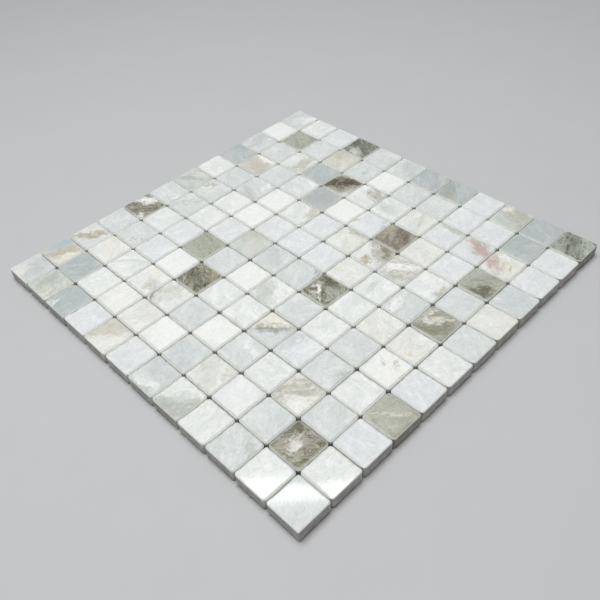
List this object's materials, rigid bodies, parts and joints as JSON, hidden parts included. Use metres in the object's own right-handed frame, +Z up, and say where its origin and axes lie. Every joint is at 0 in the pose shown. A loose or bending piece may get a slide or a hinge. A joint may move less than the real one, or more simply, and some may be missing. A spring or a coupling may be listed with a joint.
{
  "type": "mosaic tile sheet",
  "caption": "Square sheet of small polished marble tiles in straight rows with narrow open joints, held on a glass-fibre net, for bonding to a wall or floor.",
  "frame": {"origin": "middle of the sheet, on the underside of the net", "axes": "+X along the rows of tiles, +Y across them, +Z up through the polished faces"},
  "size_m": [0.3048, 0.3048, 0.0101],
  "materials": {
    "marble": "polished",
    "glass_fibre_net": "matte"
  },
  "bodies": {
    "root": {"tile_row_01": "marble", "tile_row_02": "marble", "tile_row_03": "marble", "tile_row_04": "marble", "tile_row_05": "marble", "tile_row_06": "marble", "tile_row_07": "marble", "tile_row_08": "marble", "tile_row_09": "marble", "tile_row_10": "marble", "tile_row_11": "marble", "tile_row_12": "marble", "net_lower_yarns": "glass_fibre_net", "net_upper_yarns": "glass_fibre_net"}
  },
  "joints": []
}
